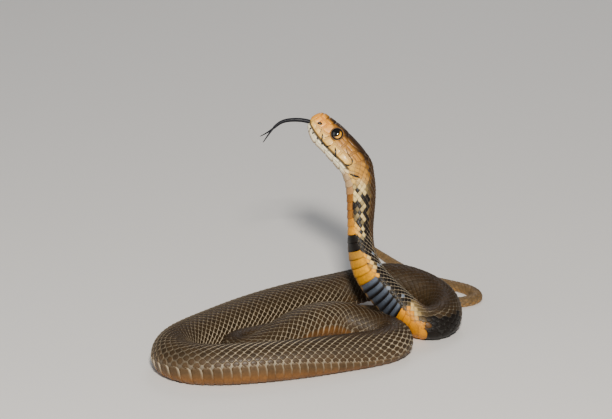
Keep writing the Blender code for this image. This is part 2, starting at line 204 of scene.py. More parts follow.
BACKS = (
    (0, 0.755, 0.154, 0.636), (25, 0.755, 0.154, 0.636), (37, 0.98, 0.05, 0.17), (49, 1.0, -0.02, -0.02),
    (59, 0.99, 0.1, -0.03), (69, 0.9, 0.42, 0.07), (77, 0.8, 0.53, 0.25), (87, 0.69, 0.59, 0.42),
    (97, 0.64, 0.59, 0.5), (105, 0.6, 0.55, 0.58), (111, 0.44, 0.48, 0.76), (117, 0.16, 0.34, 0.93),
    (127, 0.0, 0.08, 1.0), (137, 0.0, 0.0, 1.0), (157, 0.0, 0.0, 1.0), (778, 0.0, 0.0, 1.0),
)
HEAD_FORM = (
    (0.0, 4.4, 4.2, -3.0, -5.2), (2.0, 4.8, 4.9, -3.6, -5.9), (4.5, 5.2, 5.5, -4.1, -6.8),
    (8.0, 5.9, 6.3, -4.5, -7.7), (13.5, 7.0, 7.0, -4.6, -7.4), (19.5, 8.4, 7.3, -4.3, -7.4),
    (25.5, 9.0, 7.8, -3.5, -7.1), (30.5, 8.2, 8.4, -2.9, -6.6), (38.0, 6.6, 7.8, -2.6, -5.9),
)
HEAD_END = 37.0
SNOUT_DEPTH = 3.6
SNOUT_BLUNTNESS = 3.0
CHIN_SLANT = 0.3
LIP_RECESS = 0.6
NOSE_REACH = 1.0
JAW_CORNER = 31.5
LIP_GAP = 0.12
MOUTH_DEPTH = 0.75
BLEND_START = 29.0
EYE_FROM_SNOUT = 13.0
EYE_ANGLE = math.radians(52.0)
EYE_REACH = 2.85
SOCKET_DEPTH = 1.6
SKIN_INSET = 0.3
SKIN_LIFT = 0.25
STATION_STEP = 0.95
MAP_STRIPS = 4
LIP_DEGREES = (87.0, 88.6, 89.4, 90.0, 90.6, 91.4, 93.0)
BODY_BACK = srgb(48, 35, 21)
BODY_FLANK = srgb(58, 46, 32)
BODY_LOW = srgb(78, 62, 45)
BELLY_RUST = srgb(114, 82, 54)
TAIL_BACK = srgb(110, 90, 66)
TAIL_LOW = srgb(142, 110, 74)
TAIL_TIP = srgb(128, 105, 76)
NET_PALE = srgb(180, 167, 146)
NECK_BACK = srgb(62, 42, 24)
CREAM = srgb(232, 208, 154)
BLACK = srgb(20, 14, 9)
THROAT = srgb(150, 104, 62)
ORANGE = srgb(240, 178, 84)
RUST = srgb(180, 114, 46)
SLATE = srgb(92, 98, 108)
# Painted highlight: a few pale blue-grey scales on the neck's black flank stand in for glints.
GLINT = srgb(150, 160, 172)
CROWN = srgb(50, 32, 10)
CHEEK = srgb(175, 127, 76)
SNOUT = srgb(240, 171, 98)
LIP = srgb(234, 192, 122)
LOWER_LIP = srgb(242, 232, 204)
# Painted shade: the chin's cream made tan where it faces the floor, under the jaw and the start of the
# throat.
SHADED_CHIN = srgb(190, 164, 132)
ROLLS = (
    (0, 0), (60, 0), (130, 0), (230, 0), (280, 0), (305, -12), (322, -28), (335, -36), (376, -34),
    (395, -20), (412, -8), (428, 0), (440, 12), (452, 24), (486, 24), (510, 8), (530, 0), (600, 0),
    (700, 0), (777, 0),
)
chance = np.random.default_rng(11)


def b_spline(control, per_span=14):
    """A uniform cubic B-spline drawn near its control points, reaching the first and the last of them."""
    p = np.array(control, float)
    p = np.vstack([2 * p[0] - p[1], p, 2 * p[-1] - p[-2]])
    t = np.linspace(0.0, 1.0, per_span, endpoint=False)[:, None]
    weights = ((1 - t) ** 3, 3 * t ** 3 - 6 * t ** 2 + 4, -3 * t ** 3 + 3 * t ** 2 + 3 * t + 1, t ** 3)
    spans = [sum(w * p[i + k] for k, w in enumerate(weights)) / 6 for i in range(len(p) - 3)]
    return np.vstack(spans + [p[-2:-1]])


def path_lengths(line):
    """The distance along a line of points, from its first."""
    return np.concatenate([[0.0], np.cumsum(np.linalg.norm(np.diff(line, axis=0), axis=1))])


def read_table(table, at):
    """A smooth reading of a short table whose rows start with a distance: cubic pieces between the rows."""
    rows = np.array(table, float)
    places, values = rows[:, 0], rows[:, 1:]
    slope = np.gradient(values, places, axis=0)
    index = np.clip(np.searchsorted(places, at, side="right") - 1, 0, len(places) - 2)
    span = (places[index + 1] - places[index])[:, None]
    t = np.clip((at - places[index])[:, None] / span, 0.0, 1.0)
    start = (2 * t ** 3 - 3 * t ** 2 + 1) * values[index] + (t ** 3 - 2 * t ** 2 + t) * span * slope[index]
    end = (3 * t ** 2 - 2 * t ** 3) * values[index + 1] + (t ** 3 - t ** 2) * span * slope[index + 1]
    return start + end


FINE_ROUTE = b_spline(ROUTE)
FINE_LENGTHS = path_lengths(FINE_ROUTE)
TOTAL = FINE_LENGTHS[-1]


def axis_point(at):
    """The axis at a distance: the route's point, raised by the belly's share of the height there."""
    spine = np.stack([np.interp(at, FINE_LENGTHS, FINE_ROUTE[:, k]) for k in range(3)], 1)
    spine[:, 2] += BELLY_SHARE * read_table(GIRTH, at)[:, 1] - FLAT_DEPTH
    return spine


def unit(v):
    """Each row of an array of directions, made one long."""
    return v / np.maximum(np.linalg.norm(v, axis=-1, keepdims=True), 1e-9)


def axis_frames(at):
    """The axis and the directions along it, to the back and to the snake's left."""
    spine = axis_point(at)
    along = unit(axis_point(np.minimum(at + 1.5, TOTAL)) - axis_point(np.maximum(at - 1.5, 0.0)))
    back = read_table(BACKS, at)
    back = unit(back - np.sum(back * along, axis=1)[:, None] * along)
    return spine, along, back, np.cross(along, back)


def fade(x, start, end):
    """0 before the start, 1 after the end, and an even S between them."""
    t = np.clip((x - start) / (end - start), 0.0, 1.0)
    return t * t * (3 - 2 * t)


def body_offsets(at, angle):
    """Aside and up from the axis on the body: a power of sine and cosine, fuller below than above."""
    width, height = read_table(GIRTH, at).T
    c, s = np.cos(angle), np.sin(angle)
    aside = np.sign(s) * np.abs(s) ** np.where(c > 0, 1.0, 0.85) * width / 2
    up = np.where(c > 0, np.abs(c) ** 1.05 * (1 - BELLY_SHARE), -np.abs(c) ** 0.8 * BELLY_SHARE) * height
    return aside, up


def head_offsets(at, angle):
    """Aside, up and back from the axis on the head: crown, cheeks, a slit between the lips, and chin."""
    half, crown, mouth, chin = read_table(HEAD_FORM, at).T
    degrees = np.degrees(np.abs(angle))
    s, c = np.abs(np.sin(angle)), np.cos(angle)
    aside = np.where(c > 0, s ** 0.72 * half, s ** 0.62 * (half - 0.4))
    up = np.where(c > 0, mouth + LIP_GAP + np.abs(c) ** 0.86 * (crown - mouth - LIP_GAP),
                  mouth - LIP_GAP - np.abs(c) ** 0.9 * (mouth - LIP_GAP - chin))
    slit = np.clip(1 - np.abs(degrees - 90.0) / 1.6, 0.0, 1.0) * np.clip((JAW_CORNER - at) / 3.0, 0.0, 1.0)
    aside = aside - MOUTH_DEPTH * slit
    up = up + (mouth - up) * slit
    aside = aside + 0.45 * np.exp(-((at - EYE_FROM_SNOUT) / 4.0) ** 2 - ((degrees - 44.0) / 11.0) ** 2)
    aside = aside * np.sign(np.sin(angle))
    short = np.clip(1 - at / SNOUT_DEPTH, 0.0, 1.0)
    shrink = (1 - short ** SNOUT_BLUNTNESS) ** (1 / SNOUT_BLUNTNESS)
    aside = aside * shrink
    up = mouth + (up - mouth) * shrink
    recede = np.clip(mouth - up, 0.0, None) * CHIN_SLANT * np.clip(1 - at / 9.0, 0.0, None)
    overhang = LIP_RECESS - NOSE_REACH * np.clip((up - mouth) / 2.5, 0.0, 1.0)
    recede = recede + overhang * np.clip(1 - at / 6.0, 0.0, None)
    return aside, up, recede


def form_point(at, angle):
    """A point of the snake's outer form: the head's offsets pass into the body's behind the jaw."""
    spine, along, back, left = axis_frames(at)
    aside, up = body_offsets(at, angle)
    head_aside, head_up, recede = head_offsets(np.minimum(at, 38.0), angle)
    blend = fade(at, BLEND_START, HEAD_END)
    aside = head_aside + (aside - head_aside) * blend
    up = head_up + (up - head_up) * blend
    recede = recede * (1 - blend)
    return spine + aside[:, None] * left + up[:, None] * back + recede[:, None] * along


def form_frame(at, angle):
    """Point, direction along (per mm), direction round (per radian) and outward direction of the form."""
    after, before = np.minimum(at + 0.25, TOTAL), np.maximum(at - 0.25, 0.0)
    lengthwise = (form_point(after, angle) - form_point(before, angle)) / (after - before)[:, None]
    turn = 0.012
    crosswise = (form_point(at, angle + turn) - form_point(at, angle - turn)) / (2 * turn)
    along = axis_frames(at)[1]
    own = unit(np.cross(crosswise, lengthwise))
    ring = unit(np.cross(crosswise, along))
    outward = unit(own + (ring - own) * fade(at, 26.0, 36.0)[:, None])
    return form_point(at, angle), lengthwise, crosswise, outward


def raised(at, angle, height, low=0.0):
    """Points above the form by a height, held above the floor."""
    shape = np.broadcast(at, angle, height).shape
    at, angle, height = (np.broadcast_to(v, shape).reshape(-1) for v in (at, angle, height))
    point, _, _, outward = form_frame(at, angle)
    point = point + outward * height[:, None]
    point[:, 2] = np.maximum(point[:, 2], low)
    return point.reshape(*shape, 3)


def mix(first, second, share):
    """From the first colour to the second by a share."""
    return first + (second - first) * np.asarray(share)[..., None]


def patch(at, degrees, at_start, at_end, low, high, soft_at=0.8, soft_degrees=4.0):
    """1 inside a stretch of distance and angle, fading out across its soft edges."""
    inside = fade(at, at_start - soft_at, at_start + soft_at)
    inside = inside * (1 - fade(at, at_end - soft_at, at_end + soft_at))
    inside = inside * fade(degrees, low - soft_degrees, low + soft_degrees)
    return inside * (1 - fade(degrees, high - soft_degrees, high + soft_degrees))


def pattern_roll(at):
    """How far, in radians, the rows of scales are turned round the body where a flank rolls up."""
    shape = np.shape(at)
    return np.radians(read_table(ROLLS, np.ravel(at))[:, 0]).reshape(shape)


def from_back(angle):
    """Degrees from the middle of the back, 0 to 180, on either side."""
    turned = np.degrees(angle) % 360.0
    return np.minimum(turned, 360.0 - turned)


def paleness(at, angle):
    """How pale the skin between the scales is: most on the outer flanks, least along the back."""
    degrees = from_back(angle)
    flank = fade(degrees, 8.0, 42.0)
    front = patch(at, degrees, 338.0, 428.0, -40.0, 200.0, 14.0) * flank
    behind = patch(at, degrees, 196.0, 296.0, -40.0, 200.0, 12.0)
    behind = behind * (0.25 + 0.75 * fade(degrees, 45.0, 72.0))
    inner = patch(at, degrees, 428.0, 560.0, -40.0, 200.0, 8.0)
    inner = inner * (0.2 + 0.8 * fade(degrees, 45.0, 75.0))
    banded = patch(at, degrees, 104.0, 132.0, 34.0, 119.0, 2.0)
    necked = patch(at, degrees, 58.0, 104.0, 30.0, 108.0, 3.0)
    pale = 0.06 + 0.12 * flank + 0.66 * front + 0.6 * behind + 0.5 * inner + 0.22 * banded + 0.42 * necked
    pale = pale * (1 - 0.96 * patch(at, degrees, 112.0, 128.5, 54.0, 200.0, 1.5, 8.0))
    return np.clip(pale, 0.0, 0.9)


def body_colours(at, angle, luck):
    """Colours of the scales and belly plates of neck, body and tail. Luck, 0 to 1, scatters the flecks."""
    degrees = from_back(angle)
    colour = mix(BODY_BACK, BODY_FLANK, fade(degrees, 15.0, 60.0))
    colour = mix(colour, BODY_LOW, fade(degrees, 75.0, 108.0))
    rust_from = 130.0 - 18.0 * fade(at, 430.0, 442.0)
    colour = mix(colour, BELLY_RUST, fade(degrees, rust_from, rust_from + 14.0) * fade(at, 118.0, 130.0))
    tail = mix(mix(TAIL_BACK, TAIL_LOW, fade(degrees, 70.0, 115.0)), TAIL_TIP, fade(at, 690.0, 760.0))
    colour = mix(colour, tail, fade(at, 560.0, 625.0))
    neck = mix(NECK_BACK, mix(NECK_BACK, CREAM, 0.22), fade(degrees, 38.0, 62.0))
    throat = mix(SHADED_CHIN, THROAT, fade(at, 34.0, 44.0))
    throat = mix(throat, mix(RUST, ORANGE, 0.55), fade(at, 50.0, 59.0))
    reach = 56.0 - 30.0 * fade(at, 66.0, 92.0)
    for shade, chosen, *stretch in (
            (CREAM, luck <= 0.5, 33.0, 61.0, 68.0, 119.0),
            (mix(CREAM, NECK_BACK, 0.5), (luck > 0.5) & (luck < 0.74), 33.0, 61.0, 68.0, 119.0),
            (BLACK, luck > 0.76, 37.0, 61.0, 56.0, 104.0),
            (BLACK, luck > 0.08, 41.0, 68.0, 50.0, 77.0, 0.8, 3.0),
            (mix(CREAM, ORANGE, 0.8), luck < 0.85, 52.0, 61.0, 94.0, 200.0),
            (throat, True, 31.0, 61.0, 112.0, 200.0),
            (BLACK, True, 44.6, 50.8, 96.0, 119.0, 0.6),
            (BLACK, True, 51.4, 55.6, 78.0, 94.0, 0.5),
            (mix(BLACK, GLINT, 0.5 * (luck > 0.93)), True, 61.0, 102.6, reach, 112.0, 1.5, 3.0),
            (mix(CREAM, ORANGE, 0.3), luck < 0.6, 68.0, 79.0, 86.0, 106.0),
            (mix(CREAM, ORANGE, 0.2), luck < 0.48, 102.0, 110.0, 62.0, 96.0),
            (BLACK, True, 60.2, 68.2, 86.0, 200.0),
            (mix(RUST, ORANGE, 0.75), True, 68.2, 81.0, 101.0, 200.0),
            (BLACK, True, 72.0, 75.4, 104.0, 118.0, 0.6),
            (SLATE, True, 81.0, 102.6, 112.6, 200.0, 0.8, 1.0)):
        neck = mix(neck, shade, patch(at, degrees, *stretch) * chosen)
    right_side = patch(at, np.degrees(angle) % 360.0, 62.0, 104.0, 199.0, 270.0)
    neck = mix(neck, mix(RUST, CREAM, 0.4), right_side)
    colour = mix(neck, colour, fade(at, 103.0, 116.0))
    colour = mix(colour, mix(RUST, ORANGE, 0.4), patch(at, degrees, 102.6, 113.6, 92.0, 200.0))
    return mix(colour, BLACK * 0.7, patch(at, degrees, 113.4, 128.0, 58.0, 200.0, 1.2, 8.0))


def head_colours(at, angle):
    """Colours of the head: a brown crown, golden cheeks, a pale snout, cream lips and a cream chin, made
    tan underneath by painted shade.
    """
    degrees = from_back(angle)
    cheek = mix(SNOUT, CHEEK, fade(at, 4.0, 18.0))
    crown = mix(mix(SNOUT, CROWN, 0.4), CROWN, fade(at, 2.0, 7.0))
    edge = 24.0 * fade(at, 0.5, 5.0) + 8.0 * fade(at, 8.0, 26.0)
    colour = mix(crown, cheek, fade(degrees, edge, edge + 23.0))
    colour = mix(colour, LIP, fade(degrees, 62.0, 80.0))
    colour = mix(colour, LOWER_LIP, fade(degrees, 89.5, 90.5))
    # Painted shade under the jaw.
    colour = mix(colour, SHADED_CHIN, fade(degrees, 128.0, 150.0))
    behind = mix(NECK_BACK, mix(CHEEK, LIP, 0.15), fade(degrees, 34.0, 58.0))
    behind = mix(behind, LIP, fade(degrees, 84.0, 98.0) * (1 - fade(degrees, 108.0, 118.0)))
    behind = mix(behind, mix(THROAT, SHADED_CHIN, 0.5), fade(degrees, 110.0, 120.0))
    return mix(colour, behind, fade(at, 27.0, 33.0))


def build_mesh(name, points, loops, sizes, tint, material, place=None, spread=None):
    """A piece from points in millimetres, corner indices and face sizes, with its colours and its map."""
    mesh = bpy.data.meshes.new(name)
    mesh.vertices.add(len(points))
    mesh.vertices.foreach_set("co", ((points + SHIFT) * MM).astype(np.float32).ravel())
    mesh.loops.add(len(loops))
    mesh.loops.foreach_set("vertex_index", loops.astype(np.int32))
    mesh.polygons.add(len(sizes))
    starts = np.concatenate([[0], np.cumsum(sizes)[:-1]])
    mesh.polygons.foreach_set("loop_start", starts.astype(np.int32))
    mesh.update(calc_edges=True)
    attributes = {"tint": tint} if place is None else {"tint": tint, "place": place}
    for key, values in attributes.items():
        full = np.ones((len(points), 4), np.float32)
        full[:, :3] = values
        mesh.attributes.new(key, "FLOAT_COLOR", "POINT").data.foreach_set("color", full.ravel())
    if spread is not None:
        mesh.uv_layers.new(name="OFBake").data.foreach_set("uv", spread[loops].astype(np.float32).ravel())
    mesh.shade_smooth()
    mesh.materials.append(material)
    made = bpy.data.objects.new(name, mesh)
    bpy.context.scene.collection.objects.link(made)
    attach(made, "root")
    return made


def read_attribute(material, name):
    """The colour and the three single values of a vertex attribute."""
    made = material.node_tree.nodes.new("ShaderNodeAttribute")
    made.attribute_name = name
    parts = material.node_tree.nodes.new("ShaderNodeSeparateColor")
    material.node_tree.links.new(made.outputs["Color"], parts.inputs["Color"])
    return made.outputs["Color"], parts.outputs


def paint(material, shader, noises):
    """The vertex colours as the shader's, varied by noises: rows of scale, detail, low and high factor."""
    colour, _ = read_attribute(material, "tint")
    for scale, detail, low, high in noises:
        colour = times(material, colour, add_noise(material, scale, detail, low, high))
    material.node_tree.links.new(colour, shader.inputs["Base Color"])
    return colour


def map_place(at, angle):
    """A place on the map, in strips for equal lengths of the snake, the back's line at their edges."""
    along = MAP_STRIPS * at / TOTAL
    strip = np.floor(along)
    round_share = (np.degrees(angle) % 360.0) / 360.0
    return np.stack([0.01 + 0.98 * (along - strip), (strip + 0.03 + 0.94 * round_share) / MAP_STRIPS], -1)


def eye_frame(side):
    """The middle of the eye's opening, and the directions rearward, upward and outward there."""
    at, angle = np.array([EYE_FROM_SNOUT]), np.array([side * EYE_ANGLE])
    _, along, back, left = axis_frames(at)
    point, _, _, outward = form_frame(at, angle)
    outward = unit(outward + 0.25 * side * left)
    rearward = unit(along - np.sum(along * outward) * outward)
    return point[0], rearward[0], unit(np.cross(outward, rearward) * side)[0], outward[0]


def clear_of_eye(points, reach, depth):
    """Points within reach of an eye's axis, pressed inward to a depth below its opening."""
    for side in (1, -1):
        middle, rearward, upward, outward = eye_frame(side)
        away = points - middle
        a, b, c = away @ rearward, away @ upward, away @ outward
        near = (1 - fade(np.hypot(a, b), reach - 0.35, reach + 0.1)) * (np.abs(c) < 4.0)
        points = points + (near * np.minimum(-depth - c, 0.0))[..., None] * outward
    return points


def grid_faces(rows, columns, closed=False):
    """Corners of a grid's quads. Its columns close round, and its rows too where it is closed."""
    i, j = np.meshgrid(np.arange(rows if closed else rows - 1), np.arange(columns), indexing="ij")
    here, below = i * columns, (i + 1) % rows * columns
    after = (j + 1) % columns
    return np.stack([here + j, here + after, below + after, below + j], -1).reshape(-1, 4)


left_degrees = np.concatenate([np.arange(0, 85, 4.0), LIP_DEGREES, np.arange(96, 181, 4.0)])
skin_angles = np.radians(np.concatenate([left_degrees, -left_degrees[-2:0:-1]]))
snout_stations = 0.02 + 7.98 * np.linspace(0, 1, 34, endpoint=False) ** 2
body_stations = np.linspace(8.0, TOTAL - 0.02, int((TOTAL - 8.0) / STATION_STEP))
skin_stations = np.concatenate([snout_stations, body_stations])
grid_at, grid_angle = np.meshgrid(skin_stations, skin_angles, indexing="ij")
skin_grid = clear_of_eye(raised(grid_at, grid_angle, -SKIN_INSET, SKIN_LIFT), EYE_REACH, SOCKET_DEPTH)
rows, columns = grid_at.shape
quads = grid_faces(rows, columns)
ring = np.arange(columns)
after = (ring + 1) % columns
last = (rows - 1) * columns
snout_fan = np.stack([np.full(columns, rows * columns), after, ring], -1)
tail_fan = np.stack([np.full(columns, rows * columns + 1), last + ring, last + after], -1)
skin_points = np.vstack([skin_grid.reshape(-1, 3), skin_grid[0].mean(0), skin_grid[-1].mean(0)])
skin_loops = np.concatenate([quads.ravel(), snout_fan.ravel(), tail_fan.ravel()])
skin_sizes = np.concatenate([np.full(len(quads), 4), np.full(2 * columns, 3)])
all_at = np.concatenate([grid_at.ravel(), [0.0, TOTAL]])
all_angle = np.concatenate([grid_angle.ravel(), [0.0, 0.0]])
all_pattern = all_angle - pattern_roll(all_at)
low_gap = 1 - 0.5 * fade(from_back(all_pattern), 104.0, 110.0)
net = paleness(all_at, all_pattern) * low_gap * fade(all_at, 104.0, 124.0)
body_tint = mix(body_colours(all_at, all_pattern, np.full(len(all_at), 0.5)) * 0.5, NET_PALE, net)
# Painted shade: the skin inside the mouth's slit is darkened.
slit = (1 - fade(np.abs(from_back(all_angle) - 90.0), 1.2, 2.6)) * (1 - fade(all_at, 31.0, 32.5))
head_tint = mix(head_colours(all_at, all_angle) * 0.72, NECK_BACK * 0.6, 0.85 * slit)
skin_tint = mix(head_tint, body_tint, fade(all_at, 31.0, 36.0))

skin_material, skin_shader = new_material("soft_skin", 0.55)
paint(skin_material, skin_shader, ((1200.0, 3.0, 0.82, 1.15),))
add_grain(skin_material, skin_shader, 2600.0, 3.0, 0.25)
skin = build_mesh("skin", skin_points, skin_loops, skin_sizes, skin_tint, skin_material)
flesh = [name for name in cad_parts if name.split("_")[0] in ("head", "neck", "body", "tail")]
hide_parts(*flesh)

# The small scales
# Smooth, glossy, overlapping horn scales in slanting rows, 27 round the neck, 25 in the middle of the body
# and fewer towards the tail. Each is a low plate with a raised rear edge, rooted in the skin.
# Each belt has its start, end, rows across and pitch.
SCALE_BELTS = (
    ("neck_scales", "neck_skin", ((27.2, 112.0, 27, 2.8),)),
    ("front_scales", "body_skin", ((112.4, 240.0, 25, 3.6),)),
    ("middle_scales", "body_skin", ((242.0, 330.0, 25, 3.6),)),
    ("flank_scales", "body_skin", ((332.0, 429.0, 25, 3.6),)),
    ("rear_scales", "body_skin", ((429.2, 520.0, 23, 3.5), (520.2, 560.0, 19, 3.3),
                                  (559.8, 597.0, 15, 3.1))),
    ("tail_scales", "tail_skin", ((597.0, 640.0, 13, 3.0), (640.0, 700.0, 10, 2.8), (700.0, 740.0, 8, 2.5),
                                  (740.0, 772.0, 6, 2.2))),
)
LAST_ROW_ANGLE = math.radians(112.0)
PLATE_ROUND = 14
PLATE_RINGS = (0.6, 0.93, 1.0)
PLATE_CORNER = 1.35
MAP_PATCH = 0.0015


def row_angles(at, count):
    """Angles of rows round the back and flanks at a distance, a little wider apart low on the flanks."""
    fine = np.linspace(-LAST_ROW_ANGLE, LAST_ROW_ANGLE, 241)
    ring = form_point(np.full(241, at), fine)
    lengths = path_lengths(ring)
    even = (np.arange(count) + 0.5) / count * 2 - 1
    wider_below = even * (0.88 + 0.12 * even ** 2)
    return np.interp((wider_below + 1) / 2 * lengths[-1], lengths, fine)


def scale_roots(belts):
    """Distance, angle, pitch and row spacing of each scale, with every second row set back by half."""
    found = []
    for start, end, count, pitch in belts:
        stations = np.arange(start, end, pitch)
        angle = np.array([row_angles(station, count) for station in stations])
        spacing = np.gradient(angle, axis=1)
        at = stations[:, None] + 0.5 * pitch * (np.arange(count) % 2)[None, :]
        found.append(np.stack([at.ravel(), angle.ravel(), np.full(at.size, pitch), spacing.ravel()], -1))
    roots = np.vstack(found)
    behind_shields = (roots[:, 0] > 29.6) | (np.abs(roots[:, 1]) < math.radians(22.0))
    return roots[behind_shields].T


def plate_faces(around, rings, count):
    """Corners and sizes for like plates: for each, a fan, rings of quads, and one face below."""
    k = np.arange(around)
    fan = np.stack([np.zeros(around, int), 1 + (k + 1) % around, 1 + k], -1).ravel()
    below = 1 + (rings - 1) * around + k
    corners = np.concatenate([fan, 1 + grid_faces(rings, around).ravel(), below])
    sizes = np.concatenate([np.full(around, 3), np.full(around * (rings - 1), 4), [around]])
    step = 1 + around * rings
    return (corners[None] + np.arange(count)[:, None] * step).ravel(), np.tile(sizes, count)


def scale_plates(name, belts, material):
    """One piece of scales: rounded rhombs in distance and angle, each tipped up to its rear edge."""
    at, angle, pitch, spacing = scale_roots(belts)
    count = len(at)
    luck = chance.random(count)
    _, lengthwise, _, _ = form_frame(at, angle + pattern_roll(at))
    stretch = np.linalg.norm(lengthwise, axis=1)
    pale = paleness(at, angle)
    reach_along = 0.56 * pitch * np.minimum(stretch, 1.0) / np.maximum(stretch, 0.3) * (1 - 0.08 * pale)
    reach_round = spacing * (1.04 - 0.12 * pale)
    turn = np.linspace(0, 2 * np.pi, PLATE_ROUND, endpoint=False)
    c, s = np.cos(turn), np.sin(turn)
    rim = (np.abs(c) ** PLATE_CORNER + np.abs(s) ** PLATE_CORNER) ** (-1 / PLATE_CORNER)
    x = np.concatenate([[0.0], *[r * rim * c for r in PLATE_RINGS]])
    y = np.concatenate([[0.0], *[r * rim * s for r in PLATE_RINGS]])
    out = np.concatenate([[0.0], np.repeat(PLATE_RINGS, PLATE_ROUND)])
    thickness = np.clip(pitch / 3.6, 0.6, 1.0)[:, None]
    height = (-0.16 + 0.22 * (x + 1) + 0.10 * (1 - out ** 2)) * thickness
    height = np.where(out > 0.99, -0.45, height) + 0.05 * (luck[:, None] - 0.5)
    place_at = np.clip(at[:, None] + reach_along[:, None] * x, 0.5, TOTAL - 0.3)
    place_angle = angle[:, None] + reach_round[:, None] * y
    points = raised(place_at, place_angle + pattern_roll(place_at), height, 0.05).reshape(-1, 3)
    scatter_at = at + 1.6 * (chance.random(count) - 0.5)
    scatter_angle = np.abs(angle) + np.radians(5.0) * (chance.random(count) - 0.5)
    tint = body_colours(scatter_at, scatter_angle, luck)
    tint = mix(head_colours(scatter_at, scatter_angle), tint, fade(scatter_at, 34.5, 37.5))
    tint = np.repeat(tint * (1 - 0.3 * pale * fade(at, 110.0, 130.0))[:, None], len(x), axis=0)
    place = np.stack([np.repeat(luck, len(x)), np.tile(out, count), np.repeat(pale, len(x))], -1)
    spread = map_place(at, angle)[:, None, :] + MAP_PATCH * np.stack([x, y], -1)[None]
    corners, sizes = plate_faces(PLATE_ROUND, len(PLATE_RINGS), count)
    made = build_mesh(name, points, corners, sizes, tint, material, place, spread.reshape(-1, 2))


def blend(material, first, second, factor):
    """The first colour socket passing into a fixed second colour by a factor socket."""
    made = material.node_tree.nodes.new("ShaderNodeMix")
    made.data_type = "RGBA"
    material.node_tree.links.new(factor, made.inputs["Factor"])
    material.node_tree.links.new(first, made.inputs[6])
    made.inputs[7].default_value = (*second, 1.0)
    return made.outputs[2]


def product(material, first, second):
    """Two value sockets multiplied."""
    made = material.node_tree.nodes.new("ShaderNodeMath")
    made.operation = "MULTIPLY"
    material.node_tree.links.new(first, made.inputs[0])
    material.node_tree.links.new(second, made.inputs[1])
    return made.outputs["Value"]


scale_material, scale_shader = new_material("horn_scales", 0.55, 0.05, 0.25, 0.22)
scale_links = scale_material.node_tree.links
scale_tint = paint(scale_material, scale_shader, ((900.0, 4.0, 0.80, 1.16), (280.0, 3.0, 0.84, 1.10)))
_, scale_place = read_attribute(scale_material, "place")
luck_shade = ramp(scale_material, scale_place["Red"], 0.84, 1.14)
edge_shade = ramp(scale_material, scale_place["Green"], 1.0, 0.82, 0.5, 0.85)
rim_share = ramp(scale_material, scale_place["Green"], 0.0, 1.0, 0.79, 0.92)
pale_rim = product(scale_material, rim_share, scale_place["Blue"])
scale_tint = times(scale_material, times(scale_material, scale_tint, luck_shade), edge_shade)
scale_links.new(blend(scale_material, scale_tint, NET_PALE, pale_rim), scale_shader.inputs["Base Color"])
scale_links.new(add_noise(scale_material, 500.0, 2.0, 0.45, 0.62), scale_shader.inputs["Roughness"])
add_grain(scale_material, scale_shader, 2200.0, 3.0, 0.10)
for name, slot, belts in SCALE_BELTS:
    scale_plates(name, belts, scale_material)

# The belly plates
# One broad horn plate under each joint of the spine, its rounded ends showing low on both flanks and its
# rear edge lapping the next. Behind the vent they are smaller. The throat's plates carry the bands.
PLATE_END = math.radians(71.0)
PLATE_ACROSS = 15
PLATE_PROFILE = (
    (-1.0, -0.55), (-1.0, -0.16), (-0.5, -0.02), (0.0, 0.10), (0.55, 0.2), (0.9, 0.24), (1.0, 0.08),
    (1.0, -0.55),
)
VENT = 597.0
BELLY_PITCH = 3.6
TAIL_PITCH = 2.7


def belly_plates(name, start, end, pitch, material):
    """One piece of belly plates: a closed profile carried across the belly, narrow at its round ends."""
    roots = np.arange(start, end, pitch)
    across = np.sin(np.linspace(-1, 1, PLATE_ACROSS) * np.pi / 2)
    lengthwise, lift = np.array(PLATE_PROFILE).T
    count, columns, sides = shape = (len(roots), PLATE_ACROSS, len(lift))
    width = np.clip(1 - np.abs(across) ** 10, 0.0, 1.0) ** 0.5 * 0.52 + 0.06
    swept = width[:, None] * lengthwise - 0.10 * (across ** 2)[:, None]
    place_at = np.clip(roots[:, None, None] + pitch * swept, 1.0, TOTAL - 0.3)
    angle = np.broadcast_to((np.pi + PLATE_END * across)[:, None], shape)
    height = np.broadcast_to(lift * np.clip(pitch / BELLY_PITCH, 0.7, 1.0), shape)
    points = raised(place_at, angle + pattern_roll(place_at), height, 0.0).reshape(-1, 3)
    walls = grid_faces(columns, sides)[:, [0, 3, 2, 1]].ravel()
    final = (columns - 1) * sides + np.arange(sides)[::-1]
    corners = np.concatenate([walls, np.arange(sides), final])
    corners = (corners + np.arange(count)[:, None] * columns * sides).ravel()
    sizes = np.tile(np.concatenate([np.full((columns - 1) * sides, 4), [sides, sides]]), count)
    luck = np.repeat(chance.random(count), columns * sides)
    at = np.repeat(roots, columns * sides)
    degrees = from_back(angle.ravel())
    edge = np.tile(lengthwise, count * columns)
    tint = mix(SHADED_CHIN, body_colours(at, angle.ravel(), luck), fade(at, 33.0, 38.0))
    tint = mix(tint, BLACK, 0.95 * fade(edge, 0.0, 0.55) * patch(at, degrees, 80.0, 103.0, 90.0, 200.0))
    tint = mix(tint, BLACK, 0.35 * fade(edge, 0.5, 0.9) * patch(at, degrees, 60.0, 118.0, 90.0, 200.0))
    pale_edge = np.maximum(fade(edge, 0.55, 0.9), 1 - fade(degrees, 109.2, 111.5))
    pale_edge = pale_edge * (1 - fade(degrees, 112.0, 150.0))
    tint = mix(tint, NET_PALE, 0.6 * pale_edge * fade(at, 122.0, 130.0))
    place = np.stack([luck, np.zeros(len(luck)), np.full(len(luck), 0.3)], -1)
    on_map = MAP_PATCH * np.stack(np.meshgrid(lengthwise, across), -1)
    spread = map_place(roots, np.full(count, np.pi))[:, None, None, :] + on_map
    made = build_mesh(name, points, corners, sizes, tint, material, place, spread.reshape(-1, 2))


belly_plates("throat_plates", 33.0, 112.0, BELLY_PITCH * 0.98, scale_material)
belly_plates("belly_plates", 112.6, VENT, BELLY_PITCH, scale_material)
belly_plates("tail_plates", VENT + 1.0, 770.0, TAIL_PITCH, scale_material)

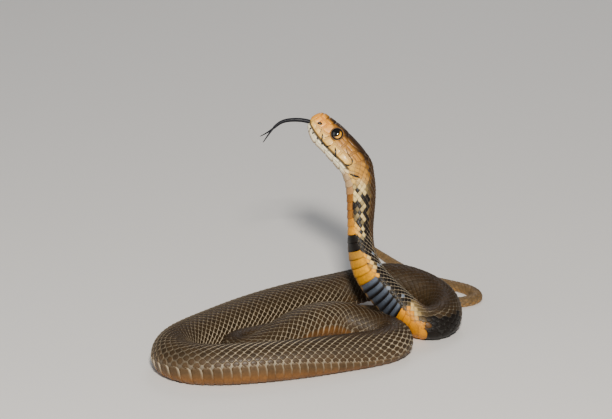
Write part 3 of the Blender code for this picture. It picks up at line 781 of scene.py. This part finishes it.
# The head shields
# Large, smooth, fitted horn shields: one on the snout's tip, pairs over the nose, brows and crown, and
# a row along each lip. Each is a low dome with a narrow gap round it, set on the skin.
SHIELD_ROUND = 32
SHIELD_RINGS = (0.3, 0.6, 0.82, 0.95, 1.0)
SHIELD_TOP = 0.17
SHIELD_RISE = (0.16, 0.15, 0.12, 0.04, -0.4)
SHIELD_GAP = 0.11
MM_PER_DEGREE = 0.12
MIDDLE_SHIELDS = (
    # Tip of the snout, middle of the brow, tip of the chin
    ((0.0, -84), (0.0, 84), (0.9, 82), (1.7, 62), (2.0, 34), (2.3, 0), (2.0, -34), (1.7, -62),
     (0.9, -82)),
    ((8.6, -13), (9.2, 0), (8.6, 13), (11.5, 15), (14.6, 12), (16.8, 0), (14.6, -12), (11.5, -15)),
    ((0.0, 97), (0.0, 263), (0.8, 263), (1.3, 235), (1.6, 180), (1.3, 125), (0.8, 97)),
)
PAIRED_SHIELDS = (
    # Nose, brows and crown
    ((2.4, 1), (2.1, 30), (2.2, 42), (4.4, 43), (5.0, 20), (5.1, 1)),
    ((5.3, 1), (5.2, 20), (4.7, 44), (7.4, 46), (8.2, 36), (8.4, 13), (9.0, 1)),
    ((8.6, 15), (8.5, 34), (10.6, 41), (13.0, 42), (15.6, 40), (16.6, 30), (16.0, 16), (14.7, 14),
     (11.5, 16.5)),
    ((17.0, 1), (15.0, 13), (16.4, 17), (17.0, 30), (17.3, 40), (21.0, 43), (24.5, 36), (27.0, 18),
     (27.2, 1)),
    # Before and behind the nostril, and before the eye
    ((1.9, 44), (1.7, 62), (1.3, 74), (3.2, 76), (3.9, 70), (3.9, 44)),
    ((4.2, 45), (4.2, 70), (3.6, 75.5), (6.0, 73), (6.6, 60), (6.4, 47)),
    ((6.8, 47), (7.0, 62), (6.4, 72), (8.8, 73), (10.6, 68), (10.0, 52), (10.8, 43), (8.4, 37)),
    # Behind the eye and on the temple
    ((15.4, 41), (15.8, 49), (18.6, 50), (18.8, 42), (17.0, 40.5)),
    ((15.9, 50), (15.6, 60), (18.6, 61), (18.8, 51)),
    ((15.2, 61), (14.2, 69), (17.2, 73), (18.8, 70), (18.6, 62)),
    ((19.1, 43.5), (19.0, 57), (23.6, 58), (24.2, 46), (21.4, 44)),
    ((19.0, 58), (19.1, 70.5), (22.4, 73), (23.9, 68), (23.7, 59)),
    ((24.8, 38), (24.4, 51), (28.6, 52), (28.6, 38), (27.0, 24)),
    ((24.2, 52), (24.1, 63), (28.4, 64), (28.7, 53)), ((24.2, 64), (24.1, 74), (28.4, 76), (28.6, 65)),
    # Upper lip, front to back
    ((1.2, 75.5), (1.2, 88.4), (4.7, 88.4), (4.5, 77)),
    ((4.8, 77), (4.9, 88.4), (7.6, 88.4), (7.4, 74.5), (6.2, 74)),
    ((7.7, 74.5), (7.8, 88.4), (11.0, 88.4), (11.8, 70), (10.7, 70), (9.0, 74.5)),
    ((12.1, 70), (11.2, 88.4), (15.2, 88.4), (15.0, 73), (14.0, 70)),
    ((15.3, 73.5), (15.5, 88.4), (20.5, 88.4), (20.2, 74), (17.4, 74.6)),
    ((20.6, 73.5), (20.8, 88.4), (27.5, 88.6), (27.5, 77), (23.0, 75)),
    # Lower lip, front to back
    ((1.0, 91.6), (1.0, 112), (2.0, 150), (2.6, 150), (2.4, 108), (2.3, 91.6)),
    ((2.5, 91.6), (2.7, 108), (4.2, 110), (4.1, 91.6)),
    ((4.3, 91.6), (4.5, 110), (6.3, 111), (6.1, 91.6)),
    ((6.3, 91.6), (6.6, 112), (9.0, 113), (8.7, 91.6)),
    ((8.9, 91.6), (9.3, 113), (12.0, 113), (11.9, 91.6)),
    ((12.1, 91.6), (12.3, 113), (15.8, 112), (15.8, 91.6)),
    ((16.0, 91.6), (16.1, 112), (19.6, 111), (19.6, 91.6)),
    ((19.8, 91.6), (19.9, 111), (23.4, 110), (23.4, 91.6)),
    ((23.6, 91.6), (23.7, 110), (28.4, 108), (28.4, 91.6)),
    # Chin and throat
    ((1.9, 178.5), (2.9, 140), (3.0, 114), (8.4, 116), (9.2, 150), (9.4, 178.5)),
    ((9.7, 178.5), (9.6, 150), (8.9, 117), (13.8, 117), (16.0, 150), (16.2, 178.5)),
    ((16.5, 178.5), (16.4, 150), (21.4, 150), (21.4, 178.5)),
    ((16.2, 147), (14.4, 117), (19.4, 116), (21.2, 147)),
    ((21.8, 178.5), (21.8, 150), (27.2, 150), (27.2, 178.5)),
    ((21.6, 147), (19.9, 115), (25.0, 114), (27.0, 147)),
    ((27.4, 147), (25.5, 113), (31.0, 113), (32.0, 147)),
)
crown_at = np.linspace(0.0, 40.0, 401)
crown_length = path_lengths(form_point(crown_at, np.full(401, math.radians(40.0))))


def shield(outline, side):
    """One shield's places, in length and degrees: its outline, rounded and drawn in, filled by rings."""
    corners = np.array(outline, float) * (1.0, side)
    corners[:, 0] = np.interp(corners[:, 0], crown_at, crown_length)
    following = np.roll(corners, -1, axis=0)
    if np.sum(corners[:, 0] * following[:, 1] - following[:, 0] * corners[:, 1]) < 0:
        corners = corners[::-1]
    loop = np.vstack([corners, corners[:1]])
    lengths = path_lengths(loop * (1.0, MM_PER_DEGREE))
    even = np.linspace(0, lengths[-1], SHIELD_ROUND * 4, endpoint=False)
    line = np.stack([np.interp(even, lengths, loop[:, k]) for k in range(2)], -1)
    for _ in range(5):
        line = (np.roll(line, 1, axis=0) + 2 * line + np.roll(line, -1, axis=0)) / 4
    line = line[::4]
    middle = line.mean(0)
    reach = np.linalg.norm((line - middle) * (1.0, MM_PER_DEGREE), axis=1)
    line = (line - middle) * (1 - SHIELD_GAP / np.maximum(reach, 0.5))[:, None]
    filled = middle + line * np.array(SHIELD_RINGS)[:, None, None]
    return np.vstack([middle[None], filled.reshape(-1, 2)])


def build_shields():
    """All the shields as one piece, a little darker along their edges."""
    wanted = [(outline, 1) for outline in MIDDLE_SHIELDS]
    wanted += [(outline, side) for outline in PAIRED_SHIELDS for side in (1, -1)]
    places_on = np.vstack([shield(outline, side) for outline, side in wanted])
    at = np.interp(places_on[:, 0], crown_length, crown_at)
    angle = np.radians(places_on[:, 1])
    out = np.tile(np.concatenate([[0.0], np.repeat(SHIELD_RINGS, SHIELD_ROUND)]), len(wanted))
    height = np.tile(np.concatenate([[SHIELD_TOP], np.repeat(SHIELD_RISE, SHIELD_ROUND)]), len(wanted))
    points = clear_of_eye(raised(at, angle, height), EYE_REACH - 0.15, 0.5)
    tint = head_colours(at, angle) * (1 - 0.2 * fade(out, 0.78, 0.97))[:, None]
    spread = map_place(np.clip(at, 0.5, None), angle)
    corners, sizes = plate_faces(SHIELD_ROUND, len(SHIELD_RINGS), len(wanted))
    made = build_mesh("head_shields", points, corners, sizes, tint, shield_material, spread=spread)


shield_material, shield_shader = new_material("head_horn", 0.42, 0.14, 0.15, 0.4)
paint(shield_material, shield_shader, ((420.0, 5.0, 0.78, 1.14), (1500.0, 2.0, 0.92, 1.06)))
add_grain(shield_material, shield_shader, 1300.0, 3.0, 0.12)
build_shields()

# The face's dark marks
# Black pigment in some of the seams between the shields of lips and temple and dark specks on the lower
# lip, with painted shade in each open nostril and in the fold at the mouth's rear corner. Each is a fine
# soft strand set in its seam, thin at both ends.
MARKS_AND_SHADE = (
    (((8.4, 79), (9.8, 85), (10.6, 88.5)), 0.85), (((9.8, 88.5), (12.2, 90), (14.4, 90)), 0.85),
    (((14.9, 82), (14.4, 88), (14.0, 92)), 0.8), (((11.0, 91), (11.6, 95), (12.0, 99)), 0.7),
    (((16.9, 79), (18.8, 85), (20.4, 89), (19.2, 91.5)), 0.95),
    (((18.2, 90), (20.0, 90), (21.6, 90)), 0.7),
    (((27.4, 88), (27.8, 83), (27.8, 76), (25.8, 70), (22.8, 70), (20.4, 62)), 0.62),
    # The second strand on the next line is painted shade in the fold at the mouth's rear corner.
    (((26.2, 88), (27.4, 87), (27.8, 82)), 1.0), (((31.8, 97), (33.2, 90), (34.6, 79)), 1.3),
    (((27.6, 78), (27.0, 73), (25.6, 69)), 0.85), (((2.2, 97), (3.0, 104)), 1.0),
    (((4.8, 94), (5.6, 102)), 1.0), (((8.0, 92), (8.8, 99)), 0.85),
    (((6.4, 73), (7.0, 77), (7.2, 82)), 0.4), (((11.4, 70), (11.0, 76), (10.4, 82)), 0.45),
    # Painted shade: the dark inside the nostril's opening.
    (((3.3, 70.6), (4.2, 66), (5.2, 62.6)), 1.9),
)
MARK_LIFT = 0.19


def soft_tube(path, widths, flat, sides=14):
    """A closed tube: circles of a width read along the path, pressed flatter, shrinking at both ends."""
    line = b_spline(path, 12)
    share = path_lengths(line) / path_lengths(line)[-1]
    width = np.interp(share, np.linspace(0, 1, len(widths)), widths)
    ends = np.sqrt(np.clip(1 - np.clip(np.abs(2 * share - 1) - 0.9, 0, None) ** 2 / 0.01, 0, 1))
    width = width * np.maximum(ends, 0.05)
    along = unit(np.gradient(line, axis=0))
    across = unit(np.cross(along, (0.0, 0.25, 1.0)))
    other = np.cross(across, along)
    turn = np.linspace(0, 2 * np.pi, sides, endpoint=False)
    points = (line[:, None] + (np.cos(turn) * width[:, None] / 2)[..., None] * across[:, None]
              + (np.sin(turn) * width[:, None] * flat / 2)[..., None] * other[:, None])
    n = len(line)
    walls = grid_faces(n, sides).ravel()
    caps = np.concatenate([np.arange(sides)[::-1], (n - 1) * sides + np.arange(sides)])
    sizes = np.concatenate([np.full((n - 1) * sides, 4), [sides, sides]])
    return points.reshape(-1, 3), np.concatenate([walls, caps]), sizes


def join(tubes):
    """Several tubes made one: all their points, corner indices and face sizes."""
    points, corners, sizes = zip(*tubes)
    offsets = np.cumsum([0] + [len(part) for part in points[:-1]])
    corners = [part + offset for part, offset in zip(corners, offsets)]
    return np.vstack(points), np.concatenate(corners), np.concatenate(sizes)


mark_tubes = []
for path, width in MARKS_AND_SHADE:
    for side in (1, -1):
        mark_at, mark_degrees = np.array(path, float).T
        line = raised(mark_at, np.radians(side * mark_degrees), MARK_LIFT)
        mark_tubes.append(soft_tube(line, (0.45 * width, width, width, 0.45 * width), 0.7, 8))
# Black pigment, with painted shade at the nostrils and at the mouth's rear corner.
marks = build_mesh("face_marks_and_shade", *join(mark_tubes), BLACK * 0.6, shield_material)

# The eyes
# A large round eye under a fixed clear scale: a black pupil, and a golden iris that is brightest behind
# and below. Round it, a dark ring of painted shade: the shadow of the scales that border the eye.
EYE_RADIUS = 2.75
EYE_BULGE = 1.95
EYE_BACK = 1.3
EYE_SINK = 1.0
EYE_RINGS = 30
EYE_ROUND = 56
PUPIL_RADIUS = 1.62
PUPIL_FORWARD = 0.5
RIM_RADIUS = 2.78
RIM_THICKNESS = 0.42
IRIS_BRIGHT = srgb(232, 170, 84)
IRIS_DARK = srgb(30, 17, 8)


def build_eye(name, side):
    """A dome round the eye's axis: its height is the bulge times the root of one less radius squared."""
    middle, rearward, upward, outward = eye_frame(side)
    centre = middle - EYE_SINK * outward
    radius = np.sin(np.linspace(0, np.pi / 2, EYE_RINGS + 1)[1:])
    turn = np.linspace(0, 2 * np.pi, EYE_ROUND, endpoint=False)
    r, t = np.meshgrid(np.concatenate([radius, radius[-2::-3]]), turn, indexing="ij")
    depth = np.where(np.arange(len(r)) < EYE_RINGS, EYE_BULGE, -EYE_BACK)[:, None]
    a = np.concatenate([[0.0], (EYE_RADIUS * r * np.cos(t)).ravel()])
    b = np.concatenate([[0.0], (EYE_RADIUS * r * np.sin(t)).ravel()])
    c = np.concatenate([[EYE_BULGE], (depth * np.sqrt(1 - r ** 2)).ravel()])
    points = centre + a[:, None] * rearward + b[:, None] * upward + c[:, None] * outward
    pupil = np.hypot(a + PUPIL_FORWARD, b)
    lit = fade(a * 0.95 + b * 0.1, 0.0, 1.1)
    grain = 0.5 + 0.5 * np.sin(23 * np.arctan2(b, a + PUPIL_FORWARD) + 3 * np.sin(5 * np.arctan2(b, a)))
    iris = mix(IRIS_DARK, IRIS_BRIGHT, np.clip(lit * (0.75 + 0.35 * grain), 0, 1))
    iris = mix(iris, BLACK * 0.4, fade(np.hypot(a, b), 1.9, 2.15))
    tint = mix(BLACK * 0.15, iris, fade(pupil, PUPIL_RADIUS - 0.12, PUPIL_RADIUS + 0.1))
    corners, sizes = plate_faces(EYE_ROUND, len(r), 1)
    if side < 0:
        start = np.concatenate([[0], np.cumsum(sizes)])
        corners = np.concatenate([corners[p:q][::-1] for p, q in zip(start[:-1], start[1:])])
    made = build_mesh(name, points, corners, sizes, tint, eye_material)
    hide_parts(name)


def build_eye_shade_ring(name, side):
    """A soft dark ring of painted shade round the eye: a small circle carried round a larger one."""
    middle, rearward, upward, outward = eye_frame(side)
    turn, small = np.meshgrid(np.linspace(0, 2 * np.pi, 64, endpoint=False),
                              np.linspace(0, 2 * np.pi, 12, endpoint=False), indexing="ij")
    reach = RIM_RADIUS + RIM_THICKNESS * np.cos(small)
    lift = 0.85 * RIM_THICKNESS * np.sin(small) - 0.02
    points = (middle + (reach * np.cos(turn))[..., None] * rearward
              + (reach * np.sin(turn))[..., None] * upward + lift[..., None] * outward)
    quads = grid_faces(*turn.shape, closed=True)[:, [0, 3, 2, 1]]
    if side < 0:
        quads = quads[:, ::-1]
    # Painted shade: darkened cheek colour outside, passing to black towards the eye.
    tint = mix(CHEEK * 0.45, BLACK, fade(-reach.ravel(), -RIM_RADIUS - 0.15, -RIM_RADIUS + 0.05))
    made = build_mesh(name, points.reshape(-1, 3), quads.ravel(), np.full(len(quads), 4), tint,
                      scale_material, (0.5, 0.0, 0.0))


eye_material, eye_shader = new_material("wet_eye", 0.12, 1.0, 0.02)
paint(eye_material, eye_shader, ((1800.0, 3.0, 0.8, 1.15),))
for word, side in (("left", 1), ("right", -1)):
    build_eye("eye_" + word, side)
    build_eye_shade_ring("eye_shade_ring_" + word, side)

# The tongue
# A moist blue-black tongue, nearly round near the mouth and flatter at the fork, with two fine
# tines that curl down at their tips.
TONGUE = (
    (0.7, 27.0, 93.4), (-1.9, 27.2, 94.6), (-5.2, 27.3, 95.6), (-10.0, 27.3, 95.9), (-14.5, 27.2, 95.4),
    (-17.2, 26.9, 94.0), (-19.6, 26.3, 91.8),
)
NEAR_TINE = ((-17.2, 26.9, 94.0), (-19.6, 26.3, 91.8), (-21.8, 24.4, 89.3), (-24.1, 22.3, 86.4))
FAR_TINE = ((-17.2, 26.9, 94.0), (-19.6, 26.3, 91.8), (-22.2, 26.9, 89.7), (-25.5, 27.5, 87.8))
TONGUE_COLOUR = srgb(20, 20, 25)

tongue_material, tongue_shader = new_material("moist_tongue", 0.4, specular=0.2)
paint(tongue_material, tongue_shader, ((900.0, 3.0, 0.7, 1.25),))
add_grain(tongue_material, tongue_shader, 2400.0, 3.0, 0.2)
tubes = [soft_tube(TONGUE, (2.2, 2.25, 2.15, 2.0, 1.75, 1.4), 0.9)]
tubes += [soft_tube(tine, (1.1, 1.0, 0.8, 0.4), 0.8) for tine in (NEAR_TINE, FAR_TINE)]
tongue = build_mesh("forked_tongue", *join(tubes), TONGUE_COLOUR, tongue_material)
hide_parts("tongue")
